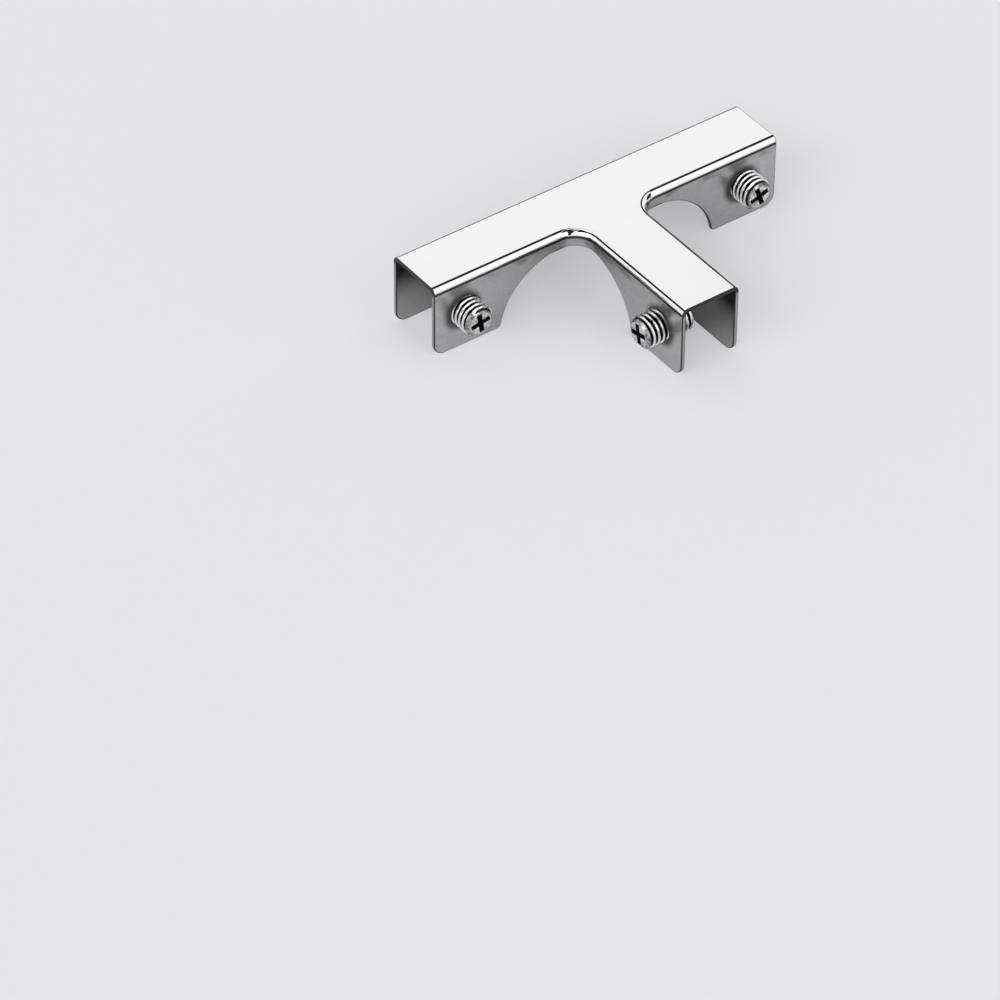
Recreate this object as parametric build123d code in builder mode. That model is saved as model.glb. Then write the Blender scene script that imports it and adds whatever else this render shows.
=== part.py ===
"""T-shaped corner clip: a channel folded from one piece of stainless sheet, with three set screws.

Frame: millimetres, +Z up. The bar of the T runs along X and its stem points to -Y. The origin lies on
the underside of the web, on the centre planes of the bar and of the stem.
"""
from build123d import *
import os
from math import sqrt

# Sheet body
sheet = 0.8              # thickness of the folded sheet
channel_width = 10.4     # clear width between two facing flanges
height = 14.4            # top of the web down to the free edges of the flanges
bar_length = 73.5        # from open end to open end of the bar
stem_reach = 34.8        # centre plane of the bar out to the open end of the stem
bend_inside = 0.3        # inside radius of every fold
tee_corner_radius = 4.3  # outer flange face in the two inner corners of the T, seen from above
rim_depth = 3.1          # top of the web down to the low rim that is left between two ears
scoop_radius = 13.1      # large arc that falls from the rim to the free edge of an ear
ear_length = 13.9        # length of each full-height ear along its free edge
ear_corner = 2.2         # rounding of the corners at the open ends
ear_inner_corner = 0.8   # rounding of the corner where a scoop meets the free edge

# Set screws
thread_diameter = 6.0
screw_length = 10.0
screw_drop = 7.4         # top of the web down to the screw axes
screw_inset = 6.75       # open end of the channel in to the screw axis
running_clearance = 0.05  # radial play of a screw in its hole
hole_deburr = 0.15       # chamfer on the outer rim of each screw hole
clamp_gap = 5.3          # screw tips to the inner face of the flange behind them, as drawn
drive_face_diameter = 4.4
drive_chamfer_length = 0.6
tip_chamfer = 0.6
recess_span = 3.9        # cross recess, tip to tip of its wings at the end face
recess_wing_width = 1.0
recess_depth = 1.7
recess_taper = 12.0      # draft of the recess walls, degrees

# Each screw has come to a stop at its own angle: turn of its cross recess, degrees
recess_turns = {"set_screw_bar_left": 10.0, "set_screw_bar_right": 19.0, "set_screw_stem": 12.0}

# Places that follow from the sizes above
outer_width = channel_width + 2 * sheet
half_width = outer_width / 2
bend_outside = bend_inside + sheet
web_top = sheet
free_edge = web_top - height
rim_edge = web_top - rim_depth
scoop_fall = height - rim_depth
scoop_cutter_height = scoop_radius + scoop_fall
arc_past_free_edge = max(scoop_radius - scoop_fall, 0)  # none where the arc ends above the free edge
scoop_run = sqrt(scoop_radius**2 - arc_past_free_edge**2)
bar_ear_start = bar_length / 2 - ear_length
stem_ear_start = stem_reach - ear_length
bar_scoop_start = bar_ear_start - scoop_run
stem_scoop_start = stem_ear_start - scoop_run
bar_screw_x = bar_length / 2 - screw_inset
stem_screw_y = stem_reach - screw_inset
screw_height = web_top - screw_drop
screw_stand_out = screw_length - sheet - (channel_width - clamp_gap)
hole_overrun = 1.0       # how far a hole's cutter runs past the sheet

# Where the screws enter: planes on the outer flange faces, with Z pointing out of the sheet
bar_left_entry = Plane((-bar_screw_x, -half_width, screw_height), x_dir=(1, 0, 0), z_dir=(0, -1, 0))
bar_right_entry = Plane((bar_screw_x, -half_width, screw_height), x_dir=(1, 0, 0), z_dir=(0, -1, 0))
stem_entry = Plane((-half_width, -stem_screw_y, screw_height), x_dir=(0, -1, 0), z_dir=(-1, 0, 0))
screw_entries = {
    "set_screw_bar_left": bar_left_entry,
    "set_screw_bar_right": bar_right_entry,
    "set_screw_stem": stem_entry,
}


def at_open_end(edge):
    """Whether an edge lies in one of the three planes where the channel ends."""
    middle = edge.center()
    return abs(abs(middle.X) - bar_length / 2) < 1e-4 or abs(middle.Y + stem_reach) < 1e-4


def at_scoop(edge):
    """Whether an edge lies where a scoop meets the free edge of a flange."""
    middle = edge.center()
    return abs(abs(middle.X) - bar_ear_start) < 1e-4 or abs(middle.Y + stem_ear_start) < 1e-4


def edges_across_sheet(body):
    """Edges at the free edges of the flanges that run through the thickness of the sheet."""
    lowest = body.edges().group_by(Axis.Z)[0]
    return lowest.filter_by(lambda edge: abs(edge.length - sheet) < 1e-4)


def draw_tee(sketch, width, corner_radius):
    """Draw the T in plan, in the sketch that is open, and round its two inner corners."""
    Rectangle(bar_length, width)
    with Locations((0, -stem_reach / 2)):
        Rectangle(width, stem_reach)
    inner_corners = sketch.vertices().filter_by(
        lambda corner: abs(abs(corner.X) - width / 2) < 1e-4 and abs(corner.Y + width / 2) < 1e-4
    )
    fillet(inner_corners, radius=corner_radius)


# Sheet body, folded from one blank
with BuildPart() as clip_body:
    with BuildSketch(Plane.XY.offset(web_top)) as outside:
        draw_tee(outside, outer_width, tee_corner_radius)
    extrude(amount=-height)
    top_face = clip_body.faces().sort_by(Axis.Z)[-1]
    fillet(top_face.edges().filter_by(at_open_end, reverse=True), radius=bend_outside)

    # The channel, open below and at the three ends
    with BuildSketch(Plane.XY) as inside:
        draw_tee(inside, channel_width, tee_corner_radius + sheet)
    extrude(amount=free_edge, mode=Mode.SUBTRACT)
    underside = clip_body.faces().filter_by(Axis.Z).sort_by(Axis.Z)[-2]
    fillet(underside.edges().filter_by(at_open_end, reverse=True), radius=bend_inside)

    # Scoops in the front flange of the bar, on both sides of the stem
    with BuildSketch(Plane.XZ) as bar_scoops:
        with Locations((0, rim_edge)):
            Rectangle(
                2 * (bar_scoop_start + scoop_radius),
                scoop_cutter_height,
                align=(Align.CENTER, Align.MAX),
            )
        fillet(bar_scoops.vertices().group_by(Axis.Y)[-1], radius=scoop_radius)
    extrude(amount=stem_scoop_start, mode=Mode.SUBTRACT)

    # Scoops in both flanges of the stem
    with BuildSketch(Plane.YZ) as stem_scoops:
        with Locations((0, rim_edge)):
            Rectangle(stem_scoop_start + scoop_radius, scoop_cutter_height, align=Align.MAX)
        fillet(stem_scoops.vertices().group_by(Axis.Y)[-1].sort_by(Axis.X)[0], radius=scoop_radius)
    extrude(amount=bar_scoop_start, both=True, mode=Mode.SUBTRACT)

    # Corners of the ears and of the back flange, which are the edges that cross the sheet
    fillet(edges_across_sheet(clip_body).filter_by(at_open_end), radius=ear_corner)
    fillet(edges_across_sheet(clip_body).filter_by(at_scoop), radius=ear_inner_corner)

    # Screw holes, one in each front ear of the bar and one in the stem
    with Locations(*screw_entries.values()):
        Hole(radius=thread_diameter / 2 + running_clearance, depth=sheet + hole_overrun)
    hole_rims = [
        edge
        for edge in clip_body.edges().filter_by(GeomType.CIRCLE)
        for entry in screw_entries.values()
        if (edge.arc_center - entry.origin).length < 1e-3
    ]
    chamfer(hole_rims, length=hole_deburr)

clip_body.part.label = "clip_body"


def make_set_screw(entry, recess_turn):
    """One headless screw: chamfered drive face with a cross recess outside, chamfered tip inside."""
    drive_face = entry.offset(screw_stand_out)
    with BuildPart() as screw:
        with BuildSketch(drive_face):
            Circle(thread_diameter / 2)
        extrude(amount=-screw_length)
        along_axis = Axis(entry.origin, entry.z_dir)
        tip_rim = screw.edges().filter_by(GeomType.CIRCLE).sort_by(along_axis)[0]
        chamfer(tip_rim, length=tip_chamfer)
        drive_rim = screw.edges().filter_by(GeomType.CIRCLE).sort_by(along_axis)[-1]
        drive_end = screw.faces().sort_by(along_axis)[-1]
        chamfer(
            drive_rim,
            length=(thread_diameter - drive_face_diameter) / 2,
            length2=drive_chamfer_length,
            reference=drive_end,
        )
        with BuildSketch(drive_face):
            Rectangle(recess_span, recess_wing_width, rotation=recess_turn)
            Rectangle(recess_wing_width, recess_span, rotation=recess_turn)
        extrude(amount=-recess_depth, taper=recess_taper, mode=Mode.SUBTRACT)
    return screw.part


set_screws = {name: make_set_screw(entry, recess_turns[name]) for name, entry in screw_entries.items()}

os.makedirs("parts", exist_ok=True)
export_step(clip_body.part, "parts/clip_body.step")
for name, screw in set_screws.items():
    screw.label = name
    export_step(screw, f"parts/{name}.step")
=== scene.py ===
"""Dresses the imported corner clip: eased sheet edges, cut threads, metal finishes, floor, light and camera.

Sizes are millimetres times MM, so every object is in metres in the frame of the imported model.
"""
import bpy
from math import cos, pi, radians, sin, tan
from mathutils import Matrix, Vector


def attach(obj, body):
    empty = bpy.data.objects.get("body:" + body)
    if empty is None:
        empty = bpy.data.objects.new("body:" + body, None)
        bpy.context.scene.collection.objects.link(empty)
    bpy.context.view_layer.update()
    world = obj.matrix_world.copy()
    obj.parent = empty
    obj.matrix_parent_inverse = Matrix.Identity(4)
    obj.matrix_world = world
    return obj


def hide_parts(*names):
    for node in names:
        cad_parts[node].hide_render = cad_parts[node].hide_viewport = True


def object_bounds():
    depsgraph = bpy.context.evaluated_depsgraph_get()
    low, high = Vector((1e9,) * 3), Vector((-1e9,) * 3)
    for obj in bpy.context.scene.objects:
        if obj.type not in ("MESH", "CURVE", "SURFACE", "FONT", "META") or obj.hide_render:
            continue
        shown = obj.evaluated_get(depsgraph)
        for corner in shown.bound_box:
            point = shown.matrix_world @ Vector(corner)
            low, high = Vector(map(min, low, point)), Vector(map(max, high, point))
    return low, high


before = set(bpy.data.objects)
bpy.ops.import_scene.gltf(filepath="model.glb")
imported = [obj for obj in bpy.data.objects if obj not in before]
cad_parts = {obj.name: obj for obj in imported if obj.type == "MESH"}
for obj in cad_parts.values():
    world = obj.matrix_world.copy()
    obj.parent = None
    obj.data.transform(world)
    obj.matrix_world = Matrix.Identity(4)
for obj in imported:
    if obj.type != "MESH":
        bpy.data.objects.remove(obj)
cad_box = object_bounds()

MM = 0.001

# Set screws: M6 x 1, headless, with a cross recess
CREST_RADIUS = 3.0 * MM
ROOT_RADIUS = 2.39 * MM
PITCH = 1.0 * MM
CREST_WIDTH = 0.13 * MM
FLANK_ANGLE = radians(30.0)
SCREW_LENGTH = 10.0 * MM
SCREW_STAND_OUT = 4.1 * MM
DRIVE_FACE_RADIUS = 2.2 * MM
DRIVE_CHAMFER = 0.6 * MM
TIP_CHAMFER = 0.6 * MM
RECESS_SPAN = 3.9 * MM
RECESS_WING = 1.0 * MM
RECESS_DEPTH = 1.7 * MM
RECESS_DRAFT = radians(12.0)
STEPS_PER_TURN = 64

# Sheet body
END_OF_BAR = 36.75 * MM
END_OF_STEM = -34.8 * MM
OUTER_FACE = 6.0 * MM
INNER_FACE = 5.2 * MM
RIM_EDGE = -2.3 * MM
CORNER_CENTRE = 10.3 * MM
INNER_CORNER = 5.1 * MM
SCREW_X = 30.0 * MM
SCREW_Y = -28.05 * MM
SCREW_Z = -6.6 * MM
EDGE_EASING = 0.19 * MM

# Where each drive face lies, which way it looks, which way its x runs, and how far the screw is turned. The turns are
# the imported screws' and some quarter turns, so that the threads start where they do in the photograph.
DRIVE_FACE_OUT = OUTER_FACE + SCREW_STAND_OUT
DRIVE_FACES = {
    "set_screw_bar_left": ((-SCREW_X, -DRIVE_FACE_OUT, SCREW_Z), (0, -1, 0), (1, 0, 0), radians(190.0)),
    "set_screw_bar_right": ((SCREW_X, -DRIVE_FACE_OUT, SCREW_Z), (0, -1, 0), (1, 0, 0), radians(289.0)),
    "set_screw_stem": ((-DRIVE_FACE_OUT, SCREW_Y, SCREW_Z), (-1, 0, 0), (0, -1, 0), radians(12.0)),
}

# How near a point has to be to count as on a plane, and how near to a skin to count as beside it
ON_PLANE = 0.01 * MM
BESIDE_SKIN = 0.05 * MM
WELD = 1e-6

# Angles between two faces: above the first their edge is shaded sharp, above the second it is eased, and below the
# third the faces are joined into one
SHARP_ABOVE = radians(30)
EASED_ABOVE = radians(60)
FLAT_BELOW = radians(0.5)

# Material slots of the sheet body and of a screw
SKIN, CUT_EDGE, EASED_EDGE, INNER_SKIN = range(4)
THREAD, RECESS, DRIVE_FACE, CHAMFER = range(4)

# Tones, from 0 black to 1 white, and pairs of tones for the darkest and lightest marks of a finish
WEB_TONE = 0.885
# The flanges are the web's own metal: their darker tones are painted shade
FLANGE_SHADE_TONES = (0.46, 0.60)
# Painted dark reflection along the folds
FOLD_REFLECTION_TONE = 0.02
STAIN_TONE = 0.10
# Painted shade round the screws, where the flange mirrors their dark side
SCREW_SHADE_TONE = 0.04
INNER_SKIN_TONES = (0.38, 0.52)
# Painted shade up under the web, inside the channel
UNDER_WEB_SHADE_TONE = 0.045
CUT_EDGE_TONES = (0.30, 0.44)
# Painted shade: the web's cut ends near black
WEB_END_SHADE_TONE = 0.035
# Painted dark outline along the eased edges
EASED_EDGE_SHADE_TONES = (0.03, 0.10)
# Painted shade in the thread roots
THREAD_ROOT_SHADE_TONE = 0.02
THREAD_TONES = (0.82, 0.92)
DRIVE_FACE_TONES = (0.34, 0.86)
CHAMFER_TONES = (0.14, 0.46)
# Painted shade inside the cross recess
RECESS_SHADE_TONES = (0.02, 0.07)
FLOOR_TONES = (0.80, 0.82)
BACKDROP_TONE = 0.80
FLOOR_SHOWN = 0.5
FLOOR_BLUE = 0.022
BACKDROP_BLUE = 0.02

# How strong the marks and the painted shades on the sheet are, how its wear changes its tone on (web, flange), and
# how fine its noises are
STAIN_STRENGTH = 0.55
SCREW_SHADE_STRENGTH = 0.86
FOLD_REFLECTION_STRENGTH = 0.95
DARKEST_WEAR = (0.96, 0.70)
LIGHTEST_WEAR = (1.04, 1.34)
GRAIN_STRETCH = (90, 2200, 2200)
BLOTCH_STRETCH = (420, 420, 900)
SMUDGE_SCALE = 190.0
SPECKLE_SCALE = 2300.0

# Bands of the sheet finish and of its painted shade: heights are from the underside of the web, and a pair is where a
# step starts and ends
FLANGE_BELOW = (-0.6 * MM, -0.4 * MM)
FOLD_REFLECTION_BAND = (-0.66 * MM, -0.10 * MM)
FOLD_REFLECTION_SOFTNESS = 0.1 * MM
LEVEL_FACING = (0.30, 0.45)
STAINS = (-1.8 * MM, -0.4 * MM)
STAIN_SOFTNESS = 1.0 * MM
STAIN_THRESHOLD = (0.42, 0.66)
FRONT_OR_LEFT_FLANGE = (-5.6 * MM, -5.5 * MM)
# The stem's flange is painted paler toward the bar, as painted light
PALER_FROM = (-27.0 * MM, -13.0 * MM)
PALER_UP_TO = (-9.5 * MM, -6.2 * MM)
# Where the painted shade round each screw lies
SCREW_SHADE_ASIDE = 0.8 * MM
SCREW_SHADE_ABOVE = 0.5 * MM
SCREW_SHADE_RADIUS = (3.2 * MM, 4.9 * MM)
SCREW_SHADE_RAGGEDNESS = 0.6 * MM

# Heights at which painted shade darkens the inner skin up under the web and the ends of the web
UNDER_WEB_SHADE_HEIGHTS = (-7.5 * MM, -2.5 * MM)
UNDER_WEB_SHADE_RAGGEDNESS = 2.0 * MM
WEB_END_SHADE_HEIGHTS = (-1.0 * MM, -0.3 * MM)

# How far out of a thread root the painted shade ends, and how much its noise shifts that
ROOT_SHADE_ENDS = (0.50, 0.68)
ROOT_SHADE_RAGGEDNESS = 0.2

# Floor and camera, which stands at the photograph's angle
FLOOR_RADIUS = 4.0
AZIMUTH = radians(-36.17853)
ELEVATION = radians(41.02107)
ROLL = radians(0.29769)
CAMERA_PLACE = Vector((-0.446416, -0.585297, 0.571405))
LENS = 194.25
SENSOR_WIDTH = 36.0
CLIP_RANGE = (0.01, 20.0)

# Studio: directions in the sky are (right, back, up). In the camera's view the web mirrors MIRRORED_POINT.
MIRRORED_POINT = (0.465, 0.625)
CARD_EDGE = 0.05
CRISP_CARD_EDGE = 0.03
CARD_LIGHT = 0.02
SKY_LIGHT = 1.10
MAIN_BOX_LIGHT = 2.3
MAIN_BOX_TOWARD_LEFT_FRONT = (0.45, 0.75)
MAIN_BOX_UP = (0.12, 0.25)
BACK_DIMMING = 0.1
DIMMED_BACK = (0.25, 0.45)


def clear_selection():
    """Leave nothing selected, in object mode."""
    bpy.ops.object.select_all(action="DESELECT")


def work_on(piece):
    """Select one piece alone and make it the active one."""
    clear_selection()
    piece.select_set(True)
    bpy.context.view_layer.objects.active = piece


def edit(piece, select_mode="FACE"):
    """Open a piece in edit mode with nothing selected."""
    work_on(piece)
    bpy.ops.object.mode_set(mode="EDIT")
    bpy.ops.mesh.select_mode(type=select_mode)
    bpy.ops.mesh.select_all(action="DESELECT")


def close_edit():
    """Go back to object mode."""
    bpy.ops.object.mode_set(mode="OBJECT")


def weld_all():
    """In edit mode, select everything and merge points that coincide."""
    bpy.ops.mesh.select_all(action="SELECT")
    bpy.ops.mesh.remove_doubles(threshold=WELD)


def add_modifier(piece, kind, **settings):
    """Put a modifier on a piece and apply it at once."""
    work_on(piece)
    bpy.ops.object.modifier_add(type=kind)
    modifier = piece.modifiers[-1]
    for name, value in settings.items():
        setattr(modifier, name, value)
    bpy.ops.object.modifier_apply(modifier=modifier.name)


def cut(piece, cutter, operation="DIFFERENCE"):
    """Apply a boolean of the cutter to the piece, then remove the cutter."""
    add_modifier(piece, "BOOLEAN", operation=operation, solver="EXACT", object=cutter)
    work_on(cutter)
    bpy.ops.object.delete()


def draw_profile(name, profile):
    """Make a piece that is only a line through (radius, height) points, ready to turn round Z."""
    bpy.ops.mesh.primitive_plane_add(size=1)
    piece = bpy.context.object
    piece.name = name
    edit(piece, "VERT")
    bpy.ops.mesh.select_all(action="SELECT")
    bpy.ops.mesh.delete(type="VERT")
    close_edit()
    points = [(radius, 0, height) for radius, height in profile]
    piece.data.from_pydata(points, [(i, i + 1) for i in range(len(points) - 1)], [])
    return piece


def make_threaded_rod():
    """A length of thread along Z, a pitch longer than the screw at both ends and closed there."""
    flank = (CREST_RADIUS - ROOT_RADIUS) * tan(FLANK_ANGLE)
    root_width = PITCH - CREST_WIDTH - 2 * flank
    start = -SCREW_LENGTH - PITCH
    one_turn = [
        (ROOT_RADIUS, start),
        (ROOT_RADIUS, start + root_width),
        (CREST_RADIUS, start + (root_width + flank)),
        (CREST_RADIUS, start + (root_width + flank + CREST_WIDTH)),
        (ROOT_RADIUS, start + PITCH),
    ]
    rod = draw_profile("set_screw_pattern", one_turn)
    add_modifier(
        rod,
        "SCREW",
        screw_offset=PITCH,
        iterations=round(SCREW_LENGTH / PITCH) + 2,
        steps=STEPS_PER_TURN,
        render_steps=STEPS_PER_TURN,
        use_merge_vertices=True,
        merge_threshold=WELD,
    )
    edit(rod, "EDGE")
    weld_all()
    bpy.ops.mesh.select_all(action="DESELECT")
    bpy.ops.mesh.select_non_manifold()
    bpy.ops.mesh.fill_holes(sides=0)
    bpy.ops.mesh.select_all(action="SELECT")
    bpy.ops.mesh.normals_make_consistent(inside=False)
    close_edit()
    return rod


def make_screw_blank():
    """What the screw is cut from: a rod chamfered at both ends, its drive face at the origin."""
    blank = draw_profile(
        "screw_blank",
        [
            (0, -SCREW_LENGTH),
            (CREST_RADIUS - TIP_CHAMFER, -SCREW_LENGTH),
            (CREST_RADIUS, -SCREW_LENGTH + TIP_CHAMFER),
            (CREST_RADIUS, -DRIVE_CHAMFER),
            (DRIVE_FACE_RADIUS, 0),
            (0, 0),
        ],
    )
    edit(blank, "VERT")
    bpy.ops.mesh.select_all(action="SELECT")
    bpy.ops.mesh.spin(steps=STEPS_PER_TURN, angle=2 * pi, center=(0, 0, 0), axis=(0, 0, 1))
    weld_all()
    bpy.ops.mesh.normals_make_consistent(inside=False)
    close_edit()
    return blank


def punch_recess(screw):
    """Cut the two crossed wings of the recess, with drafted walls."""
    draw_in = RECESS_DEPTH * tan(RECESS_DRAFT)
    for turn in (0, pi / 2):
        bpy.ops.mesh.primitive_cube_add(size=1, location=(0, 0, 0))
        wing = bpy.context.object
        wing.scale = (RECESS_SPAN, RECESS_WING, 2 * RECESS_DEPTH)
        wing.rotation_euler = (0, 0, turn)
        bpy.ops.object.transform_apply(location=True, rotation=True, scale=True)
        for corner in wing.data.vertices:
            reach = draw_in if corner.co.z > 0 else -draw_in
            corner.co.x += reach if corner.co.x > 0 else -reach
            corner.co.y += reach if corner.co.y > 0 else -reach
        cut(screw, wing)


def drive_cone_radius(height):
    """Radius of the drive chamfer's cone at a height."""
    return DRIVE_FACE_RADIUS - height * (CREST_RADIUS - DRIVE_FACE_RADIUS) / DRIVE_CHAMFER


def mark_standing(screw):
    """Write how far each point stands out of the thread roots: 0 in a root, 1 on what is left of the blank."""
    uncut_depth = 0.02 * MM
    standing = screw.data.attributes.new("thread_standing", "FLOAT", "POINT")
    for point, value in zip(screw.data.vertices, standing.data):
        radius = point.co.xy.length
        height = point.co.z
        tip_cone_radius = CREST_RADIUS - TIP_CHAMFER + SCREW_LENGTH + height
        blank_radius = min(CREST_RADIUS, drive_cone_radius(height), tip_cone_radius)
        on_end_face = height > -ON_PLANE or height < -SCREW_LENGTH + ON_PLANE
        uncut = on_end_face or radius > blank_radius - uncut_depth
        value.value = 1.0 if uncut else (radius - ROOT_RADIUS) / (CREST_RADIUS - ROOT_RADIUS)


def screw_slot(face):
    """Which material slot a face of the screw takes."""
    recess_reach = 2.05 * MM
    recess_bottom = -1.8 * MM
    chamfer_depth = 0.04 * MM
    radius = face.center.xy.length
    height = face.center.z
    if height > -ON_PLANE:
        return DRIVE_FACE
    if radius < recess_reach and height > recess_bottom:
        return RECESS
    if height > -DRIVE_CHAMFER and radius > drive_cone_radius(height) - chamfer_depth:
        return CHAMFER
    return THREAD


def make_set_screw():
    """One screw along Z with its drive face at the origin, looking up, and its tip below."""
    screw = make_threaded_rod()
    cut(screw, make_screw_blank(), "INTERSECT")
    punch_recess(screw)
    mark_standing(screw)
    finishes = {
        THREAD: screw_finish_and_root_shade(),
        RECESS: recess_finish_and_shade(),
        DRIVE_FACE: turned_end_finish("drive_face_finish", DRIVE_FACE_TONES),
        CHAMFER: turned_end_finish("drive_chamfer_finish", CHAMFER_TONES),
    }
    for slot in sorted(finishes):
        screw.data.materials.append(finishes[slot])
    for face in screw.data.polygons:
        face.material_index = screw_slot(face)
    return screw


def place_screws(pattern):
    """Copy the screw to its three places."""
    for node, (place, outward, across, turn) in DRIVE_FACES.items():
        work_on(pattern)
        bpy.ops.object.duplicate()
        screw = bpy.context.object
        screw.name = "threaded_" + node
        z_axis = Vector(outward)
        x_axis = Vector(across)
        y_axis = z_axis.cross(x_axis)
        drive_face = Matrix((x_axis, y_axis, z_axis)).transposed().to_4x4()
        drive_face.translation = Vector(place)
        screw.matrix_world = drive_face @ Matrix.Rotation(turn, 4, "Z")
        bpy.ops.object.transform_apply(location=True, rotation=True, scale=True)
        bpy.ops.object.shade_smooth_by_angle(angle=SHARP_ABOVE)
        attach(screw, node)
        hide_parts(node)
    work_on(pattern)
    bpy.ops.object.delete()


def is_cut_through_sheet(face):
    """Whether a face is where the sheet was sheared or drilled, and not its skin."""
    x, y, z = face.center
    skin_facing = 0.9
    if abs(abs(x) - END_OF_BAR) < ON_PLANE or abs(y - END_OF_STEM) < ON_PLANE:
        return True
    if z > RIM_EDGE + ON_PLANE:
        return False
    in_bar_flange = INNER_FACE - BESIDE_SKIN < abs(y) < OUTER_FACE + BESIDE_SKIN
    in_stem_flange = INNER_FACE - BESIDE_SKIN < abs(x) < OUTER_FACE + BESIDE_SKIN and y < -OUTER_FACE
    across_sheet = abs(face.normal.x) if in_stem_flange and not in_bar_flange else abs(face.normal.y)
    if in_bar_flange or in_stem_flange:
        return across_sheet < skin_facing
    return face.normal.z < -skin_facing


def is_inner_skin(face):
    """Whether a face lies inside the channel, seen from above inside the T that its inner faces draw."""
    x, y, z = face.center
    reach = INNER_FACE + ON_PLANE
    in_corner = -CORNER_CENTRE < y < 0 and abs(x) < CORNER_CENTRE
    past_arc = Vector((abs(x) - CORNER_CENTRE, y + CORNER_CENTRE)).length > INNER_CORNER - BESIDE_SKIN
    in_bar = abs(y) < reach
    in_stem = abs(x) < reach and y < 0
    return z < ON_PLANE and (in_bar or in_stem or (in_corner and past_arc))


def make_sheet_body(node):
    """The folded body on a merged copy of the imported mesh, with every cut edge eased."""
    sheet = bpy.data.objects.new("folded_sheet_clip", node.data.copy())
    bpy.context.scene.collection.objects.link(sheet)
    edit(sheet)
    weld_all()
    bpy.ops.mesh.customdata_custom_splitnormals_clear()
    bpy.ops.mesh.dissolve_limited(angle_limit=FLAT_BELOW)
    close_edit()
    sheet.data.materials.clear()
    finishes = {
        SKIN: sheet_finish_and_shade(),
        CUT_EDGE: cut_edge_finish_and_shade(),
        EASED_EDGE: eased_edge_finish_and_shade(),
        INNER_SKIN: inner_skin_finish_and_shade(),
    }
    for slot in sorted(finishes):
        sheet.data.materials.append(finishes[slot])
    for face in sheet.data.polygons:
        outside = INNER_SKIN if is_inner_skin(face) else SKIN
        face.material_index = CUT_EDGE if is_cut_through_sheet(face) else outside
    add_modifier(
        sheet,
        "BEVEL",
        width=EDGE_EASING,
        segments=2,
        limit_method="ANGLE",
        angle_limit=EASED_ABOVE,
        use_clamp_overlap=False,
        material=EASED_EDGE,
    )
    bpy.ops.object.shade_smooth_by_angle(angle=SHARP_ABOVE)
    # The large flat faces keep their own normal, so that they mirror as flat sheet does
    add_modifier(sheet, "WEIGHTED_NORMAL", mode="FACE_AREA", weight=100, keep_sharp=True)
    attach(sheet, "clip_body")
    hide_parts("clip_body")


class Signal:
    """The output of a node, so that shader maths reads as plain arithmetic."""

    def __init__(self, bench, socket):
        self.bench = bench
        self.socket = socket

    def math(self, operation, first, second=0.0):
        """A Math node on one or two values."""
        return self.bench.add("ShaderNodeMath", {"operation": operation}, {0: first, 1: second})

    def root(self):
        return self.math("SQRT", self)

    def __abs__(self):
        return self.math("ABSOLUTE", self)

    def __add__(self, other):
        return self.math("ADD", self, other)

    def __radd__(self, other):
        return self.math("ADD", other, self)

    def __sub__(self, other):
        return self.math("SUBTRACT", self, other)

    def __rsub__(self, other):
        return self.math("SUBTRACT", other, self)

    def __mul__(self, other):
        return self.math("MULTIPLY", self, other)

    def __rmul__(self, other):
        return self.math("MULTIPLY", other, self)


class Bench:
    """One node tree in the making."""

    # Sockets of a Mix node that is set to colours
    SHARE, FIRST, SECOND, RESULT = 0, 6, 7, 2

    def __init__(self, tree):
        self.tree = tree
        self.tree.nodes.clear()

    def add(self, kind, settings=None, inputs=None, output=0):
        """Add a node, give it its settings first and then its inputs, and return one of its outputs."""
        node = self.tree.nodes.new(kind)
        for name, value in (settings or {}).items():
            setattr(node, name, value)
        for name, value in (inputs or {}).items():
            if isinstance(value, Signal):
                self.tree.links.new(value.socket, node.inputs[name])
            else:
                node.inputs[name].default_value = value
        return Signal(self, node.outputs[output]) if node.outputs else node

    def step(self, value, low, high):
        """A soft step up: 0 where the value is below low, 1 where it is above high."""
        return self.add(
            "ShaderNodeMapRange",
            {"interpolation_type": "SMOOTHSTEP"},
            {"Value": value, "From Min": low, "From Max": high},
        )

    def drop(self, value, low, high):
        """A soft step down: 1 where the value is below low, 0 where it is above high."""
        return 1 - self.step(value, low, high)

    def band(self, value, low, high, softness):
        """1 between low and high, with both ends softened."""
        half = softness / 2
        return self.step(value, low - half, low + half) * self.drop(value, high - half, high + half)

    def mix_color(self, share, first, second, blend="MIX"):
        """The first colour where share is 0, and the second, or its blend with the first, where share is 1."""
        return self.add(
            "ShaderNodeMix",
            {"data_type": "RGBA", "blend_type": blend},
            {self.SHARE: share, self.FIRST: first, self.SECOND: second},
            self.RESULT,
        )

    def between(self, share, tones):
        """A grey from the first tone to the second."""
        return self.mix_color(share, grey(tones[0]), grey(tones[1]))

    def parts(self, vector):
        """The x, y and z of a vector."""
        return [self.add("ShaderNodeSeparateXYZ", {}, {"Vector": vector}, axis) for axis in "XYZ"]

    def place(self):
        """Where a point lies on the piece, in object coordinates."""
        return self.add("ShaderNodeTexCoord", output="Object")

    def noise(self, vector, scale, detail=2.0, roughness=0.5):
        """A noise from 0 to 1, mostly about a half."""
        return self.add(
            "ShaderNodeTexNoise",
            {},
            {"Vector": vector, "Scale": scale, "Detail": detail, "Roughness": roughness},
        )

    def stretched(self, vector, scale):
        """Object coordinates scaled apart, so that a noise on them runs in streaks."""
        return self.add("ShaderNodeMapping", {}, {"Vector": vector, "Scale": scale})

    def metal(self, colour, roughness, **more):
        """Finish the tree with a metal surface."""
        inputs = {"Base Color": colour, "Metallic": 1.0, "Roughness": roughness, **more}
        surface = self.add("ShaderNodeBsdfPrincipled", {}, inputs)
        self.add("ShaderNodeOutputMaterial", {}, {"Surface": surface})


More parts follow.
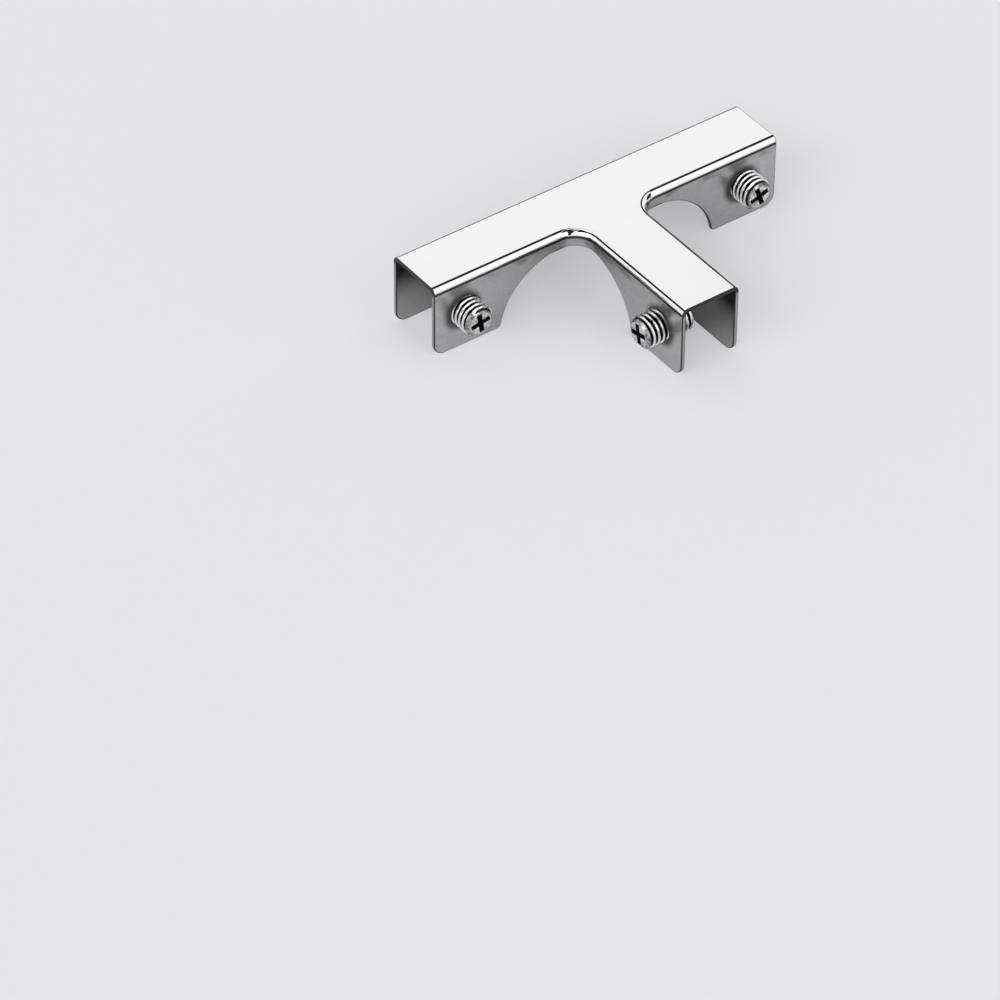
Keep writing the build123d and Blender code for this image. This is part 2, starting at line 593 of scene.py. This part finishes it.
def grey(level, blue=0.0):
    """A grey as a colour, with a little more blue if asked."""
    return (level, level, level + blue, 1.0)


def distance(first, second):
    """Length of the two-dimensional vector (first, second)."""
    return (first * first + second * second).root()


def new_material(name):
    """An empty material, and the bench to make it on."""
    material = bpy.data.materials.new(name)
    material.use_nodes = True
    return material, Bench(material.node_tree)


def sheet_finish_and_shade():
    """Stainless sheet: bright web with a faint grain and satin flanges, with painted shade: darker flanges, a dark
    reflection along each fold and shade round the screws.
    """
    material, bench = new_material("folded_sheet_finish_and_shade")
    place = bench.place()
    along_bar, across_bar, height = bench.parts(place)
    upward = bench.parts(bench.add("ShaderNodeNewGeometry", output="Normal"))[2]
    flange = bench.drop(height, *FLANGE_BELOW)
    front_flange = bench.drop(across_bar, *FRONT_OR_LEFT_FLANGE)
    left_flange = bench.drop(along_bar, *FRONT_OR_LEFT_FLANGE)
    grain = bench.noise(bench.stretched(place, GRAIN_STRETCH), 1.0, 4.0, 0.6)
    smudges = bench.noise(place, SMUDGE_SCALE, 3.0, 0.6)
    blotches = bench.noise(bench.stretched(place, BLOTCH_STRETCH), 1.0, 4.0, 0.65)
    speckle = bench.noise(place, SPECKLE_SCALE, 3.0, 0.7)

    # Bright web and grey flanges: the flanges' darker grey is painted shade, and the stem's flange is painted paler
    # toward the bar as painted light
    paler = left_flange * bench.step(across_bar, *PALER_FROM) * bench.drop(across_bar, *PALER_UP_TO)
    flange_shade_tone = bench.between(paler, FLANGE_SHADE_TONES)
    tone = bench.mix_color(flange, grey(WEB_TONE), flange_shade_tone)

    # Wear, faint on the web and mottled on the flanges
    wear = bench.mix_color(flange, grain * 0.5 + smudges * 0.5, blotches * 0.55 + speckle * 0.45)
    darkest = bench.between(flange, DARKEST_WEAR)
    lightest = bench.between(flange, LIGHTEST_WEAR)
    mottled = bench.mix_color(1.0, tone, bench.mix_color(wear, darkest, lightest), "MULTIPLY")

    # Stains right under the front folds
    stains = bench.band(height, *STAINS, STAIN_SOFTNESS) * bench.step(smudges, *STAIN_THRESHOLD) * front_flange
    stained = bench.mix_color(stains * STAIN_STRENGTH, mottled, grey(STAIN_TONE))

    # Painted shade and reflection of the screws round their holes, most of it above and to one side
    raggedness = SCREW_SHADE_RAGGEDNESS * smudges
    above_screw = height - SCREW_Z - SCREW_SHADE_ABOVE
    from_bar_screw = distance(abs(along_bar + SCREW_SHADE_ASIDE) - SCREW_X, above_screw)
    from_stem_screw = distance(across_bar - SCREW_Y + SCREW_SHADE_ASIDE, above_screw)
    screw_shade = bench.drop(from_bar_screw + raggedness, *SCREW_SHADE_RADIUS) * front_flange
    screw_shade = screw_shade + bench.drop(from_stem_screw + raggedness, *SCREW_SHADE_RADIUS) * left_flange
    screw_shaded = bench.mix_color(screw_shade * SCREW_SHADE_STRENGTH, stained, grey(SCREW_SHADE_TONE))

    # A painted dark reflection along each fold, on the steep part of the fold only
    steep = bench.drop(abs(upward), *LEVEL_FACING)
    fold_reflection_line = bench.band(height, *FOLD_REFLECTION_BAND, FOLD_REFLECTION_SOFTNESS) * steep
    shade = bench.mix_color(fold_reflection_line * FOLD_REFLECTION_STRENGTH, screw_shaded, grey(FOLD_REFLECTION_TONE))

    roughness = 0.05 + 0.04 * grain + flange * (0.17 + 0.12 * smudges) + 0.3 * screw_shade
    bump = bench.add("ShaderNodeBump", {}, {"Strength": 0.06, "Distance": 0.01 * MM, "Height": grain})
    bench.metal(shade, roughness, Normal=bump)
    return material


def inner_skin_finish_and_shade():
    """Inside of the channel: never polished, and painted shade makes it near black up under the web."""
    material, bench = new_material("inner_skin_finish_and_shade")
    place = bench.place()
    height = bench.parts(place)[2]
    smudges = bench.noise(place, 260.0, 4.0, 0.6)
    under_web_shade = bench.step(height + (smudges - 0.5) * UNDER_WEB_SHADE_RAGGEDNESS, *UNDER_WEB_SHADE_HEIGHTS)
    colour = bench.mix_color(under_web_shade, bench.between(smudges, INNER_SKIN_TONES), grey(UNDER_WEB_SHADE_TONE))
    bench.metal(colour, 0.25 + 0.15 * smudges)
    return material


def cut_edge_finish_and_shade():
    """Where the sheet was sheared: greyer than its skin, in part as painted shade, with painted shade near black
    across the ends of the web.
    """
    material, bench = new_material("cut_edge_finish_and_shade")
    place = bench.place()
    height = bench.parts(place)[2]
    streaks = bench.noise(place, 4000.0, 3.0, 0.6)
    web_end_shade = bench.step(height, *WEB_END_SHADE_HEIGHTS)
    colour = bench.mix_color(web_end_shade, bench.between(streaks, CUT_EDGE_TONES), grey(WEB_END_SHADE_TONE))
    bench.metal(colour, 0.3 + 0.15 * streaks)
    return material


def eased_edge_finish_and_shade():
    """The narrow eased edges, painted dark beside the skin as a painted shade line."""
    material, bench = new_material("eased_edge_finish_and_shade")
    edge_noise = bench.noise(bench.place(), 1800.0, 3.0, 0.6)
    bench.metal(bench.between(edge_noise, EASED_EDGE_SHADE_TONES), 0.28 + 0.1 * edge_noise)
    return material


def screw_finish_and_root_shade():
    """Bright plated screw steel, with painted shade that makes the thread roots dark."""
    material, bench = new_material("screw_steel_finish_and_root_shade")
    grain = bench.noise(bench.place(), 2500.0, 3.0, 0.6)
    standing = bench.add("ShaderNodeAttribute", {"attribute_name": "thread_standing"}, {}, "Fac")
    outside_root_shade = bench.step(standing + (grain - 0.5) * ROOT_SHADE_RAGGEDNESS, *ROOT_SHADE_ENDS)
    colour = bench.mix_color(outside_root_shade, grey(THREAD_ROOT_SHADE_TONE), bench.between(grain, THREAD_TONES))
    bench.metal(colour, 0.22 - 0.12 * outside_root_shade + 0.06 * grain)
    return material


def turned_end_finish(name, tones):
    """Round the cross recess and on the chamfer: duller than the thread, with dirt in its marks."""
    material, bench = new_material(name)
    grain = bench.noise(bench.place(), 1500.0, 4.0, 0.65)
    bench.metal(bench.between(bench.step(grain, 0.35, 0.65), tones), 0.22 + 0.1 * grain)
    return material


def recess_finish_and_shade():
    """Inside the cross recess, which is punched and never polished, painted near black as painted shade."""
    material, bench = new_material("cross_recess_finish_and_shade")
    grain = bench.noise(bench.place(), 3000.0, 3.0, 0.6)
    bench.metal(bench.between(grain, RECESS_SHADE_TONES), 0.35 + 0.1 * grain)
    return material


def floor_finish():
    """Pale matt floor, which shows itself paler to the camera and keeps the shadow."""
    material, bench = new_material("studio_floor")
    cast = bench.noise(bench.place(), 3.0)
    colour = bench.mix_color(cast, *(grey(tone, FLOOR_BLUE) for tone in FLOOR_TONES))
    matt = bench.add("ShaderNodeBsdfDiffuse", {}, {"Color": colour})
    pale = bench.add("ShaderNodeEmission", {}, {"Color": grey(BACKDROP_TONE, FLOOR_BLUE), "Strength": 1.0})
    seen = bench.add("ShaderNodeLightPath", output="Is Camera Ray")
    surface = bench.add("ShaderNodeMixShader", {}, {0: seen * FLOOR_SHOWN, 1: matt, 2: pale})
    bench.add("ShaderNodeOutputMaterial", {}, {"Surface": surface})
    return material


def make_floor():
    """The floor under the free edges of the flanges."""
    clear_selection()
    floor_level = (0, 0, cad_box[0].z)
    bpy.ops.mesh.primitive_circle_add(vertices=96, radius=FLOOR_RADIUS, fill_type="NGON", location=floor_level)
    floor = bpy.context.object
    floor.name = "floor"
    bpy.ops.object.transform_apply(location=True, rotation=True, scale=True)
    floor.data.materials.append(floor_finish())


def set_camera():
    """Stand the camera where the photograph was taken from."""
    back = Vector((sin(AZIMUTH) * cos(ELEVATION), -cos(AZIMUTH) * cos(ELEVATION), sin(ELEVATION)))
    level = Vector((cos(AZIMUTH), sin(AZIMUTH), 0))
    plumb = back.cross(level)
    right = cos(ROLL) * level + sin(ROLL) * plumb
    up = cos(ROLL) * plumb - sin(ROLL) * level
    pose = Matrix((right, up, back)).transposed().to_4x4()
    pose.translation = CAMERA_PLACE
    bpy.ops.object.camera_add()
    camera = bpy.context.object
    camera.name = "camera"
    camera.data.sensor_width = SENSOR_WIDTH
    camera.data.lens = LENS
    camera.data.clip_start, camera.data.clip_end = CLIP_RANGE
    camera.matrix_world = pose
    bpy.context.scene.camera = camera


def dark_cards(studio, right, back, up):
    """The dark cards that draw the black lines along the folds, each 1 where it hides the sky."""

    def card(right_range, back_range, edge):
        return studio.band(right, *right_range, edge) * studio.band(back, *back_range, edge)

    mirror_right = right - MIRRORED_POINT[0]
    mirror_back = back - MIRRORED_POINT[1]
    over_bar = card((0.38, 0.585), (-0.11, 0.585), CRISP_CARD_EDGE)
    to_the_left = card((-0.62, -0.22), (-0.34, 0.70), CARD_EDGE) * studio.step(up, 0.25, 0.33)
    # It leaves the zenith clear, which the web mirrors when it is seen from above
    overhead = card((-0.60, 0.37), (-0.38, 0.24), CARD_EDGE) * studio.step(distance(right, back), 0.08, 0.11)
    # A fan between two rays from the mirrored point, for the rounded inner corners of the T
    front_fan = (
        studio.step(mirror_right * 0.809 - mirror_back * 0.588, 0.0, 0.05)
        * studio.step(mirror_back * 0.309 - mirror_right * 0.951, 0.0, 0.05)
        * studio.drop(back, -0.36, -0.28)
        * studio.step(right, -0.40, -0.34)
    )
    behind_bar = (
        studio.band(right, 0.43, 0.525, CRISP_CARD_EDGE)
        * studio.drop(up, 0.38, 0.46)
        * studio.step(back, 0.62, 0.66)
    )
    behind_stem = (
        studio.band(back, 0.545, 0.63, CRISP_CARD_EDGE)
        * studio.drop(up, 0.52, 0.56)
        * studio.step(right, 0.53, 0.58)
    )
    beside = (
        studio.band(distance(mirror_right, mirror_back), 0.10, 0.38, 0.04)
        * studio.step(mirror_right, 0.02, 0.07)
        * studio.drop(mirror_back, -0.05, -0.02)
    )
    to_the_right = (
        studio.step(right * 0.79 - back * 0.61, 0.55, 0.61)
        * studio.step(right + 0.35 * back, 0.53, 0.58)
        * studio.band(back, -0.56, -0.13, 0.08)
    )
    return [over_bar, to_the_left, overhead, front_fan, behind_bar, behind_stem, beside, to_the_right]


def light_studio():
    """A sky that is pale all round, brighter at the front left where the main box is, and dark on the cards."""
    world = bpy.data.worlds.new("studio")
    world.use_nodes = True
    bpy.context.scene.world = world
    studio = Bench(world.node_tree)
    right, back, up = studio.parts(studio.add("ShaderNodeTexCoord", output="Generated"))
    open_sky = 1.0
    for card in dark_cards(studio, right, back, up):
        open_sky = open_sky * (1 - card)
    main_box = studio.step(0.0 - right - back, *MAIN_BOX_TOWARD_LEFT_FRONT) * studio.step(up, *MAIN_BOX_UP)
    level = SKY_LIGHT + MAIN_BOX_LIGHT * main_box - BACK_DIMMING * studio.step(back, *DIMMED_BACK)
    softboxes = studio.add(
        "ShaderNodeBackground", {}, {"Color": grey(1.0), "Strength": CARD_LIGHT + level * open_sky}
    )
    backdrop = studio.add("ShaderNodeBackground", {}, {"Color": grey(BACKDROP_TONE, BACKDROP_BLUE), "Strength": 1.0})
    seen = studio.add("ShaderNodeLightPath", output="Is Camera Ray")
    shown = studio.add("ShaderNodeMixShader", {}, {0: seen, 1: softboxes, 2: backdrop})
    studio.add("ShaderNodeOutputWorld", {}, {"Surface": shown})
    bpy.context.scene.view_settings.view_transform = "Standard"


make_sheet_body(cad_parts["clip_body"])
place_screws(make_set_screw())
make_floor()
set_camera()
light_studio()
